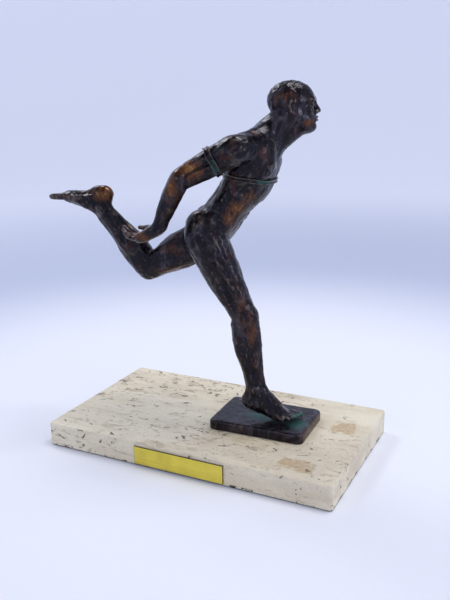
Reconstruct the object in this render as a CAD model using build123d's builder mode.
"""Bronze figure of a runner breasting the finishing tape, on a travertine base. Millimetres, +Z up.

The origin is the centre of the felt's underside, +X points the way the runner runs, along the stone's
long side, and the name plate is on the stone's -Y side. The bronze is cast in sections, which dowels
line up at the neck, shoulders and hips, and its foot has a tenon that goes through the plinth.
"""

import os
from math import cos, radians, sin

from build123d import *

# Stone, felt and name plate.
STONE_LENGTH, STONE_WIDTH, STONE_THICK = 300, 170, 23
STONE_CORNER, STONE_ARRIS = 2.5, 0.8
FELT_THICK, FELT_INSET = 1.2, 1.0
PLATE_LENGTH, PLATE_HEIGHT, PLATE_THICK, PLATE_CORNER = 95, 18.5, 0.9, 0.6
PLATE_LIFT = 1.0  # stone left showing under the plate
TAPE_THICK, TAPE_MARGIN = 0.5, 1.0  # adhesive sheet behind the plate

# Bronze plinth under the foot, turned a little on the stone.
PLINTH_LENGTH, PLINTH_WIDTH, PLINTH_THICK = 94.5, 63.5, 10
PLINTH_CORNER, PLINTH_EDGE = 6, 1.4
PLINTH_X, PLINTH_Y, PLINTH_TURN = 50, 3, 2.5

# M6 studs that hold the plinth to the stone, each with a washer and a nut in a counterbore.
STUD_RADIUS, STUD_SPACING, STUD_IN_PLINTH = 3.0, 60, 7
STUD_HOLE_RADIUS, COUNTERBORE_RADIUS, COUNTERBORE_DEPTH = 3.5, 11, 10
WASHER_RADIUS, WASHER_THICK, NUT_FLATS, NUT_THICK = 9, 1.6, 10, 5
THREAD_GAP = 0.03

# Dowels and the foot's tenon.
DOWEL_GAP = 0.03
TENON_RADIUS, TENON_LENGTH = 4, 8
CAST_GAP = 0.05  # between the foot and the plinth it stands on

# The runner's pose: length of each bone, lean from upright towards the front, and splay to the left.
FIGURE_TURN = 12
SHANK, THIGH = 77, 83
BONES = {
    "right_ankle": ("origin", 30.7, -11.7, -15.3),
    "right_knee": ("right_ankle", SHANK, -8.2, -2.2),
    "right_hip": ("right_knee", THIGH, -24.9, -2.8),
    "pelvis": ("right_hip", 15, -15, 84),
    "left_hip": ("pelvis", 15.5, -170, 74),
    "left_knee": ("left_hip", THIGH - 4, -117.8, 4),
    "left_ankle": ("left_knee", SHANK - 1, -34.3, -11),
    "waist": ("pelvis", 29.5, 35, 0),
    "chest": ("waist", 38.5, 31, 0),
    "neck": ("chest", 33.5, 32.5, 0),
    "skull": ("neck", 20, 37, 0),
    "head": ("skull", 16.5, 37.5, 0),
    "right_shoulder": ("neck", 40, -96, -65),
    "right_elbow": ("right_shoulder", 59.5, -119.5, -9.7),
    "right_wrist": ("right_elbow", 53, -150.5, 11),
    "right_knuckles": ("right_wrist", 23, -119, 14),
    "left_shoulder": ("neck", 38, -112, 73),
    "left_elbow": ("left_shoulder", 59.5, -140.5, 8.6),
    "left_wrist": ("left_elbow", 50, -149, 4),
    "left_knuckles": ("left_wrist", 22, -128, -2),
}

BASE_TOP = FELT_THICK + STONE_THICK
PLINTH_TOP = BASE_TOP + PLINTH_THICK
ON_STONE = Plane(
    origin=(PLINTH_X, PLINTH_Y, BASE_TOP),
    x_dir=(cos(radians(PLINTH_TURN)), sin(radians(PLINTH_TURN)), 0),
    z_dir=(0, 0, 1),
)
FIGURE = Plane(
    origin=(PLINTH_X, PLINTH_Y, PLINTH_TOP),
    x_dir=(cos(radians(FIGURE_TURN)), sin(radians(FIGURE_TURN)), 0),
    z_dir=(0, 0, 1),
)
AHEAD, LEFT, UP = FIGURE.x_dir, FIGURE.y_dir, FIGURE.z_dir


def place(ahead, left, up):
    """Point given in the figure's own frame, whose origin is on the plinth's top."""
    return FIGURE.origin + AHEAD * ahead + LEFT * left + UP * up


def heading(lean, splay):
    """Direction that leans from upright towards the front, and splays to the figure's left."""
    lean, splay = radians(lean), radians(splay)
    return AHEAD * (sin(lean) * cos(splay)) + LEFT * sin(splay) + UP * (cos(lean) * cos(splay))


def skeleton():
    """Every joint centre by name, each found from the one it hangs on."""
    joints = {"origin": FIGURE.origin}
    for name, (parent, length, lean, splay) in BONES.items():
        joints[name] = joints[parent] + heading(lean, splay) * length
    return joints


J = skeleton()


def along(start, end, share, ahead=0.0, left=0.0, up=0.0):
    """Point part of the way from one place to another, moved aside in the figure's frame."""
    return start + (end - start) * share + AHEAD * ahead + LEFT * left + UP * up


def between(before, start, end, after, share):
    """Value part of the way from start to end on the smooth curve through four neighbours."""
    pull = start * 2 + (end - before) * share
    bend = (before * 2 - start * 5 + end * 4 - after) * share**2
    turn = (start * 3 - before - end * 3 + after) * share**3
    return (pull + bend + turn) * 0.5


def smoothed(stations):
    """The same stations with one more halfway along each gap."""
    last = len(stations) - 1
    finer = []
    for k in range(last):
        four = [stations[min(max(at, 0), last)] for at in (k - 1, k, k + 1, k + 2)]
        middle = tuple(between(*(station[item] for station in four), 0.5) for item in range(3))
        finer += [stations[k], middle]
    return finer + [stations[last]]


def limb(side, stations):
    """Solid through ovals along a limb; a station is its centre, width along side and depth."""
    finer = smoothed(stations)
    centres = [centre for centre, _, _ in finer]
    turns = [radians(45 * step) for step in range(8)]
    across = side
    with BuildPart() as made:
        for k, (centre, width, depth) in enumerate(finer):
            run = centres[min(k + 1, len(centres) - 1)] - centres[max(k - 1, 0)]
            direction = run.normalized()
            across = (across - direction * across.dot(direction)).normalized()
            with BuildSketch(Plane(origin=centre, x_dir=across, z_dir=direction)):
                with BuildLine():
                    Spline([(width / 2 * cos(turn), depth / 2 * sin(turn)) for turn in turns], periodic=True)
                make_face()
        loft(ruled=True)
    return made.part


def egg(centre, length, thick, lean):
    """Egg-shaped mass, round across; its length runs along the lean."""
    axis = heading(lean, 0)
    with BuildPart() as made:
        with BuildSketch(Plane(origin=centre, x_dir=axis, z_dir=LEFT)):
            Ellipse(length / 2, thick / 2)
            split(bisect_by=Plane.XZ)
        revolve(axis=Axis(centre, axis))
    return made.part


def rod(centre, direction, length, radius):
    """Round bar centred on a point."""
    with BuildPart() as made:
        with BuildSketch(Plane(origin=centre, z_dir=direction)):
            Circle(radius)
        extrude(amount=length / 2, both=True)
    return made.part


def beyond(centre, direction, reach, size):
    """Block that starts at a joint's flat face and lies on the limb's side of it."""
    with BuildPart() as made:
        with BuildSketch(Plane(origin=centre, z_dir=direction)):
            Rectangle(size, size)
        extrude(amount=reach)
    return made.part


# Where the cast sections meet: a point on each joint's flat face, and the way its dowel points.
JOINTS = {
    "neck": (along(J["neck"], J["skull"], 0.3, ahead=-1), heading(35, 0)),
    "right_shoulder": (along(J["neck"], J["right_shoulder"], 0.68), heading(-40, -57)),
    "left_shoulder": (along(J["neck"], J["left_shoulder"], 0.7), heading(-36, 59)),
    "right_hip": (along(J["right_hip"], J["right_knee"], 0.05), heading(165, -36)),
    "left_hip": (along(J["left_hip"], J["left_knee"], 0.08), heading(-130, 34)),
}
# Dowels: radius and length.
DOWELS = {
    "neck": (2.5, 18),
    "right_shoulder": (2.5, 18),
    "left_shoulder": (2.5, 18),
    "right_hip": (3.0, 22),
    "left_hip": (3.0, 22),
}

# Tape: how far it stands out, then for each band its centre, lean, splay and height.
TAPE_PROUD = 1.3
CHEST_TAPE = (along(J["waist"], J["chest"], 0.92), 10, 0, 5)
RIGHT_TAPE = (along(J["right_shoulder"], J["right_elbow"], 0.45), -118, -12, 6)
LEFT_TAPE = (along(J["left_shoulder"], J["left_elbow"], 0.56), -140, 10, 6)


# The runner's masses, each a loft of stations: centre, width and depth. extra thickens one all round.
def torso_form(extra=0.0):
    """Trunk from the crotch to the root of the neck."""
    pelvis, waist, chest, neck = J["pelvis"], J["waist"], J["chest"], J["neck"]
    stations = [
        (along(pelvis, waist, -0.75, ahead=1), 24, 22),
        (along(pelvis, waist, -0.25), 52, 33),
        (along(pelvis, waist, 0.2), 60, 38),
        (along(pelvis, waist, 0.62, ahead=1), 55, 37),
        (along(waist, chest, 0.05, ahead=2.2), 50, 36),
        (along(waist, chest, 0.5, ahead=3), 55, 41),
        (along(waist, chest, 1, ahead=2.5), 64, 46),
        (along(chest, neck, 0.36, ahead=1), 70, 43),
        (along(chest, neck, 0.72, ahead=-0.5), 67, 37),
        (along(chest, neck, 0.96, ahead=-0.5), 58, 31),
        (along(neck, J["skull"], 0.14, ahead=-0.5), 34, 27),
        (along(neck, J["skull"], 0.4, ahead=-0.5), 24, 25),
    ]
    return limb(LEFT, [(centre, width + 2 * extra, depth + 2 * extra) for centre, width, depth in stations])


def arm_form(name, extra=0.0):
    """One arm from the knuckles to inside the shoulder, palm up behind the runner."""
    out = -1 if name == "right" else 1
    shoulder, elbow, wrist, knuckles = (J[f"{name}_{joint}"] for joint in ("shoulder", "elbow", "wrist", "knuckles"))
    stations = [
        (along(wrist, knuckles, 0.95), 18.5, 8),
        (along(wrist, knuckles, 0.45), 18, 10),
        (wrist, 13, 10),
        (along(elbow, wrist, 0.88), 11.5, 11),
        (along(elbow, wrist, 0.55), 14.5, 15.5),
        (along(elbow, wrist, 0.2), 18, 18),
        (elbow, 17, 18),
        (along(shoulder, elbow, 0.86), 17, 19.5),
        (along(shoulder, elbow, 0.62, up=-0.5), 20, 22.5),
        (along(shoulder, elbow, 0.36, left=out * 0.5, up=-1.2), 22, 23.5),
        (along(shoulder, elbow, 0.12, left=out * 1.5, up=-2), 25, 25),
        (along(J["neck"], shoulder, 0.82, up=-3), 26, 25.5),
        (along(J["neck"], shoulder, 0.4, up=-5), 25, 26),
    ]
    return limb(LEFT, [(centre, width + 2 * extra, depth + 2 * extra) for centre, width, depth in stations])


def leg_form(name, bent):
    """One leg from inside the pelvis to the ankle; a bent one has fewer stations about the knee."""
    hip, knee, ankle = (J[f"{name}_{joint}"] for joint in ("hip", "knee", "ankle"))
    behind = LEFT.cross((ankle - knee).normalized())
    out = -1 if name == "right" else 1
    near_knee = [] if bent else [(along(hip, knee, 0.8), 22.5, 25)]
    below_knee = [] if bent else [(along(knee, ankle, 0.14) + behind, 20.5, 23.5)]
    stations = [
        (along(hip, knee, -0.22, left=out), 32, 36),
        (along(hip, knee, 0.02, left=out * 1.5), 33, 39),
        (along(hip, knee, 0.22, left=out), 32, 37),
        (along(hip, knee, 0.52), 27.5, 33),
        *near_knee,
        (knee, 21.5, 24.5),
        *below_knee,
        (along(knee, ankle, 0.36) + behind * 3.2, 23, 26.5),
        (along(knee, ankle, 0.6) + behind * 2, 18.5, 21.5),
        (along(knee, ankle, 0.84), 14, 17),
        (along(knee, ankle, 1.05), 14, 17),
    ]
    return limb(LEFT, stations)


def foot_form(ankle, sole, toes, heel_drop, heel_back, length):
    """Foot; sole runs from the heel to the ball, the toes' direction on from the ball."""
    top = sole.cross(LEFT)
    heel = ankle - sole * heel_back - top * heel_drop
    ball = heel + sole * length - top
    stations = [
        (heel - sole * 3, 7, 9),
        (heel, 12.5, 15),
        (along(heel, ball, 0.22) + top * 1.8, 14, 18),
        (along(heel, ball, 0.5) + top * 2, 16, 16.5),
        (along(heel, ball, 0.78) + top * 0.8, 19, 12.5),
        (ball, 21, 9.5),
        (ball + toes * 8, 20, 7.5),
        (ball + toes * 14, 15, 5.5),
    ]
    return limb(top.cross(sole), stations)


def fingers_form(name, curl):
    """Four fingers and the thumb of one hand, trailing behind the knuckles."""
    out = -1 if name == "right" else 1
    wrist, knuckles = J[f"{name}_wrist"], J[f"{name}_knuckles"]
    palm = (knuckles - wrist).normalized()
    lift = (UP - palm * UP.dot(palm)).normalized()
    run = (palm + lift * curl).normalized()
    made = []
    for k, length in enumerate((19, 23, 24, 21)):  # little finger to forefinger, outside to inside
        root = along(wrist, knuckles, 0.78, left=out * (6.3 - 4.2 * k))
        tip = root + run * length + lift * 2
        made.append(limb(LEFT, [(root, 4.4, 5.6), ((root + tip) * 0.5, 4.2, 5), (tip, 3, 3.4)]))
    root = along(wrist, knuckles, 0.3, left=-out * 6)
    tip = root + palm * 17 + lift * 9 - LEFT * (out * 4)
    made.append(limb(LEFT, [(root, 6, 7), (along(root, tip, 0.6), 5, 5.4), (tip, 3, 3.4)]))
    return made


def tape_round(form, thick_form, centre, lean, splay, height):
    """Band of tape round a limb: the thickened form between two planes, less the form itself."""
    with BuildPart() as made:
        with BuildSketch(Plane(origin=centre, z_dir=heading(lean, splay))):
            Circle(48)
        extrude(amount=height / 2, both=True)
        add(thick_form, mode=Mode.INTERSECT)
        add(form, mode=Mode.SUBTRACT)
    return made.part


def dowel_part(joint, grow=0.0):
    """Dowel across one joint, or the hole for it when grown."""
    centre, direction = JOINTS[joint]
    radius, length = DOWELS[joint]
    return rod(centre, direction, length + 2 * grow, radius + grow)


def face_of(joint):
    """Plane of a joint's flat face, looking along the limb."""
    centre, direction = JOINTS[joint]
    return Plane(origin=centre, z_dir=direction)


def hip_cut(joint, side):
    """Block beyond a hip's face, kept to its own half of the figure."""
    block = beyond(*JOINTS[joint], reach=70, size=160)
    with BuildPart() as made:
        add(block)
        split(bisect_by=Plane(origin=FIGURE.origin, z_dir=side))
    return made.part


HOLES = {joint: dowel_part(joint, DOWEL_GAP) for joint in DOWELS}

# Travertine slab: eased corners and arrises, and a counterbored hole under each stud.
with BuildPart() as travertine_base:
    with BuildSketch(Plane.XY.offset(FELT_THICK)):
        RectangleRounded(STONE_LENGTH, STONE_WIDTH, STONE_CORNER)
    extrude(amount=STONE_THICK)
    chamfer(travertine_base.faces().sort_by(Axis.Z)[-1].edges(), STONE_ARRIS)
    with BuildSketch(ON_STONE):
        with GridLocations(STUD_SPACING, 0, 2, 1):
            Circle(STUD_HOLE_RADIUS)
    extrude(amount=-STONE_THICK, mode=Mode.SUBTRACT)
    with BuildSketch(ON_STONE.offset(-STONE_THICK)):
        with GridLocations(STUD_SPACING, 0, 2, 1):
            Circle(COUNTERBORE_RADIUS)
    extrude(amount=COUNTERBORE_DEPTH, mode=Mode.SUBTRACT)

# Felt pad under the stone, just inside its edges.
with BuildPart() as base_felt:
    with BuildSketch():
        RectangleRounded(STONE_LENGTH - 2 * FELT_INSET, STONE_WIDTH - 2 * FELT_INSET, STONE_CORNER)
    extrude(amount=FELT_THICK)

# Adhesive sheet on the stone's long face, and the blank name plate on it.
PLATE_PLANE = Plane(
    origin=(0, -STONE_WIDTH / 2, FELT_THICK + PLATE_LIFT + PLATE_HEIGHT / 2), x_dir=(1, 0, 0), z_dir=(0, -1, 0)
)
with BuildPart() as plate_adhesive:
    with BuildSketch(PLATE_PLANE):
        RectangleRounded(PLATE_LENGTH - 2 * TAPE_MARGIN, PLATE_HEIGHT - 2 * TAPE_MARGIN, PLATE_CORNER)
    extrude(amount=TAPE_THICK)
with BuildPart() as name_plate:
    with BuildSketch(PLATE_PLANE.offset(TAPE_THICK)):
        RectangleRounded(PLATE_LENGTH, PLATE_HEIGHT, PLATE_CORNER)
    extrude(amount=PLATE_THICK)
    chamfer(name_plate.faces().sort_by(Axis.Y)[0].edges(), PLATE_THICK / 3)

# Studs, washers and nuts that clamp the plinth down.
NUT_PLANE = ON_STONE.offset(COUNTERBORE_DEPTH - STONE_THICK)


def stud_part(side):
    """Threaded rod from the nut up into the plinth."""
    start = STONE_THICK - COUNTERBORE_DEPTH + WASHER_THICK + NUT_THICK + 1
    with BuildPart() as made:
        with BuildSketch(ON_STONE.offset(-start)):
            with Locations((side * STUD_SPACING / 2, 0)):
                Circle(STUD_RADIUS)
        extrude(amount=start + STUD_IN_PLINTH)
    return made.part


def washer_part(side):
    """Flat washer against the counterbore's floor."""
    with BuildPart() as made:
        with BuildSketch(NUT_PLANE.offset(-WASHER_THICK)):
            with Locations((side * STUD_SPACING / 2, 0)):
                Circle(WASHER_RADIUS)
                Circle(STUD_RADIUS + THREAD_GAP, mode=Mode.SUBTRACT)
        extrude(amount=WASHER_THICK)
    return made.part


def nut_part(side):
    """Hexagon nut under the washer."""
    with BuildPart() as made:
        with BuildSketch(NUT_PLANE.offset(-WASHER_THICK - NUT_THICK)):
            with Locations((side * STUD_SPACING / 2, 0)):
                RegularPolygon(NUT_FLATS / 2, 6, major_radius=False)
                Circle(STUD_RADIUS + THREAD_GAP, mode=Mode.SUBTRACT)
        extrude(amount=NUT_THICK)
    return made.part


# Head with its neck: cranium, face, jaw, ears and a cap of short hair.
CRANIUM_LEAN, FACE_LEAN, HEAD_TURN = 80, -8, 13
FACE = Plane(
    origin=J["head"] + AHEAD * 2.2,
    x_dir=heading(90 + FACE_LEAN, HEAD_TURN),
    z_dir=heading(FACE_LEAN, 0),
)
head_egg = egg(FACE.origin + UP * 3.5, 39, 33, CRANIUM_LEAN)
hair_egg = egg(FACE.origin - AHEAD * 1.2 + UP * 4.8, 39.5, 34, CRANIUM_LEAN)


def on_face(ahead, left, up):
    """Point in the head's own tilted and turned frame."""
    return FACE.origin + FACE.x_dir * ahead + FACE.y_dir * left + FACE.z_dir * up


def neck_form():
    """Neck from its joint up into the skull, leaning forward."""
    base = JOINTS["neck"][0]
    return limb(
        LEFT,
        [
            (along(base, J["head"], -0.12, up=-0.5), 25, 26),
            (along(base, J["head"], 0.1), 24, 25),
            (along(base, J["head"], 0.35, up=0.5), 22, 24),
            (along(base, J["head"], 0.7, ahead=1), 21.5, 24),
            (along(base, J["head"], 1.0, ahead=2, up=2), 20, 22),
        ],
    )


def face_form():
    """Face from the forehead to the chin."""
    return limb(
        FACE.y_dir,
        [
            (on_face(5, 0, 15), 21, 20),
            (on_face(6, 0, 7), 26, 23),
            (on_face(6.5, 0, -1), 27, 22.5),
            (on_face(6.5, 0, -9), 24, 21.5),
            (on_face(7.5, 0, -16), 17.5, 17),
            (on_face(9.5, 0, -21.5), 11, 11.5),
        ],
    )


def nose_form():
    """Nose from the bridge to its rounded tip."""
    return limb(
        FACE.y_dir,
        [
            (on_face(16.2, 0, 4), 4, 3),
            (on_face(17.6, 0, -1), 4.6, 4.2),
            (on_face(18.6, 0, -5.5), 5.6, 4.8),
            (on_face(17, 0, -8), 4.8, 3.2),
        ],
    )


def ear_form(side):
    """Outer ear, lying flat against the head."""
    return limb(
        FACE.x_dir,
        [
            (on_face(-2, side * 13.4, 4), 5, 2.6),
            (on_face(-2.4, side * 15.6, 0), 7.2, 3.2),
            (on_face(-1.2, side * 14.2, -5.5), 3.4, 2.4),
        ],
    )


neck_mass, face_mass, nose_mass = neck_form(), face_form(), nose_form()
ears = [ear_form(side) for side in (-1, 1)]
with BuildPart() as head:
    add(head_egg)
    add(neck_mass)
    add(face_mass)
    add(nose_mass)
    add(ears)
    add(hair_egg)
    split(bisect_by=face_of("neck"))
    add(HOLES["neck"], mode=Mode.SUBTRACT)

# Trunk, cut flat where the limbs are fitted.
torso_mass = torso_form()
shoulder_cuts = [beyond(*JOINTS[f"{side}_shoulder"], reach=60, size=70) for side in ("right", "left")]
hip_cuts = [hip_cut("right_hip", -LEFT), hip_cut("left_hip", LEFT)]
with BuildPart() as torso:
    add(torso_mass)
    split(bisect_by=face_of("neck"), keep=Keep.BOTTOM)
    add(shoulder_cuts, mode=Mode.SUBTRACT)
    add(hip_cuts, mode=Mode.SUBTRACT)
    add(list(HOLES.values()), mode=Mode.SUBTRACT)


def whole_arm(name, curl):
    """Arm, hand and fingers as one casting, cut flat at the shoulder."""
    form = arm_form(name)
    fingers = fingers_form(name, curl)
    centre, direction = JOINTS[f"{name}_shoulder"]
    inside = beyond(centre, -direction, reach=40, size=70)
    with BuildPart() as made:
        add(form)
        add(inside, mode=Mode.SUBTRACT)
        add(fingers)
        add(HOLES[f"{name}_shoulder"], mode=Mode.SUBTRACT)
    return made.part


right_arm_mass, left_arm_mass = whole_arm("right", 0.55), whole_arm("left", 0.25)
with BuildPart() as right_arm:
    add(right_arm_mass)
with BuildPart() as left_arm:
    add(left_arm_mass)

# Standing leg on the ball of its foot, with the tenon that goes into the plinth.
right_leg_mass = leg_form("right", bent=False)
right_sole = (AHEAD * 40 + LEFT - UP * 14.5).normalized()
right_foot = foot_form(J["right_ankle"], right_sole, AHEAD, heel_drop=13.3, heel_back=4, length=38)
TENON_AT = place(22, -6, 0)
with BuildPart() as right_leg:
    add(right_leg_mass)
    split(bisect_by=face_of("right_hip"))
    split(bisect_by=Plane(origin=FIGURE.origin, z_dir=-LEFT))
    add(right_foot)
    split(bisect_by=FIGURE.offset(CAST_GAP))
    add(rod(TENON_AT, UP, 2 * TENON_LENGTH, TENON_RADIUS))
    add(HOLES["right_hip"], mode=Mode.SUBTRACT)

# Trailing leg, its sole turned up behind.
left_leg_mass = leg_form("left", bent=True)
left_sole = (AHEAD * -41 - LEFT * 6 - UP * 1.5).normalized()
left_foot = foot_form(J["left_ankle"], left_sole, left_sole, heel_drop=12.3, heel_back=4, length=36)
with BuildPart() as left_leg:
    add(left_leg_mass)
    split(bisect_by=face_of("left_hip"))
    split(bisect_by=Plane(origin=FIGURE.origin, z_dir=LEFT))
    add(left_foot)
    add(HOLES["left_hip"], mode=Mode.SUBTRACT)

# Plinth with soft edges, tapped underneath for the studs and bored for the foot's tenon.
with BuildPart() as plinth:
    with BuildSketch(ON_STONE):
        RectangleRounded(PLINTH_LENGTH, PLINTH_WIDTH, PLINTH_CORNER)
    extrude(amount=PLINTH_THICK)
    fillet(plinth.faces().sort_by(Axis.Z)[-1].edges(), PLINTH_EDGE)
    with BuildSketch(ON_STONE):
        with GridLocations(STUD_SPACING, 0, 2, 1):
            Circle(STUD_RADIUS + THREAD_GAP)
    extrude(amount=STUD_IN_PLINTH + THREAD_GAP, mode=Mode.SUBTRACT)
    add(rod(TENON_AT, UP, 2 * (TENON_LENGTH + DOWEL_GAP), TENON_RADIUS + DOWEL_GAP), mode=Mode.SUBTRACT)

# Finishing tape: round the chest, and a loop round each upper arm.
chest_band = tape_round(torso_mass, torso_form(TAPE_PROUD), *CHEST_TAPE)
right_band = tape_round(arm_form("right", 0.05), arm_form("right", TAPE_PROUD), *RIGHT_TAPE)
left_band = tape_round(arm_form("left", 0.05), arm_form("left", TAPE_PROUD), *LEFT_TAPE)
with BuildPart() as tape_chest:
    add(chest_band)
with BuildPart() as tape_right_loop:
    add(right_band)
with BuildPart() as tape_left_loop:
    add(left_band)

# Fasteners and dowels, each its own piece.
with BuildPart() as stud_left:
    add(stud_part(-1))
with BuildPart() as stud_right:
    add(stud_part(1))
with BuildPart() as washer_left:
    add(washer_part(-1))
with BuildPart() as washer_right:
    add(washer_part(1))
with BuildPart() as nut_left:
    add(nut_part(-1))
with BuildPart() as nut_right:
    add(nut_part(1))
with BuildPart() as neck_dowel:
    add(dowel_part("neck"))
with BuildPart() as right_shoulder_dowel:
    add(dowel_part("right_shoulder"))
with BuildPart() as left_shoulder_dowel:
    add(dowel_part("left_shoulder"))
with BuildPart() as right_hip_dowel:
    add(dowel_part("right_hip"))
with BuildPart() as left_hip_dowel:
    add(dowel_part("left_hip"))

os.makedirs("parts", exist_ok=True)
travertine_base.part.label = "travertine_base"
export_step(travertine_base.part, "parts/travertine_base.step")
base_felt.part.label = "base_felt"
export_step(base_felt.part, "parts/base_felt.step")
name_plate.part.label = "name_plate"
export_step(name_plate.part, "parts/name_plate.step")
plate_adhesive.part.label = "plate_adhesive"
export_step(plate_adhesive.part, "parts/plate_adhesive.step")
plinth.part.label = "plinth"
export_step(plinth.part, "parts/plinth.step")
torso.part.label = "torso"
export_step(torso.part, "parts/torso.step")
head.part.label = "head"
export_step(head.part, "parts/head.step")
right_arm.part.label = "right_arm"
export_step(right_arm.part, "parts/right_arm.step")
left_arm.part.label = "left_arm"
export_step(left_arm.part, "parts/left_arm.step")
right_leg.part.label = "right_leg"
export_step(right_leg.part, "parts/right_leg.step")
left_leg.part.label = "left_leg"
export_step(left_leg.part, "parts/left_leg.step")
tape_chest.part.label = "tape_chest"
export_step(tape_chest.part, "parts/tape_chest.step")
tape_right_loop.part.label = "tape_right_loop"
export_step(tape_right_loop.part, "parts/tape_right_loop.step")
tape_left_loop.part.label = "tape_left_loop"
export_step(tape_left_loop.part, "parts/tape_left_loop.step")
stud_left.part.label = "stud_left"
export_step(stud_left.part, "parts/stud_left.step")
stud_right.part.label = "stud_right"
export_step(stud_right.part, "parts/stud_right.step")
washer_left.part.label = "washer_left"
export_step(washer_left.part, "parts/washer_left.step")
washer_right.part.label = "washer_right"
export_step(washer_right.part, "parts/washer_right.step")
nut_left.part.label = "nut_left"
export_step(nut_left.part, "parts/nut_left.step")
nut_right.part.label = "nut_right"
export_step(nut_right.part, "parts/nut_right.step")
neck_dowel.part.label = "neck_dowel"
export_step(neck_dowel.part, "parts/neck_dowel.step")
right_shoulder_dowel.part.label = "right_shoulder_dowel"
export_step(right_shoulder_dowel.part, "parts/right_shoulder_dowel.step")
left_shoulder_dowel.part.label = "left_shoulder_dowel"
export_step(left_shoulder_dowel.part, "parts/left_shoulder_dowel.step")
right_hip_dowel.part.label = "right_hip_dowel"
export_step(right_hip_dowel.part, "parts/right_hip_dowel.step")
left_hip_dowel.part.label = "left_hip_dowel"
export_step(left_hip_dowel.part, "parts/left_hip_dowel.step")
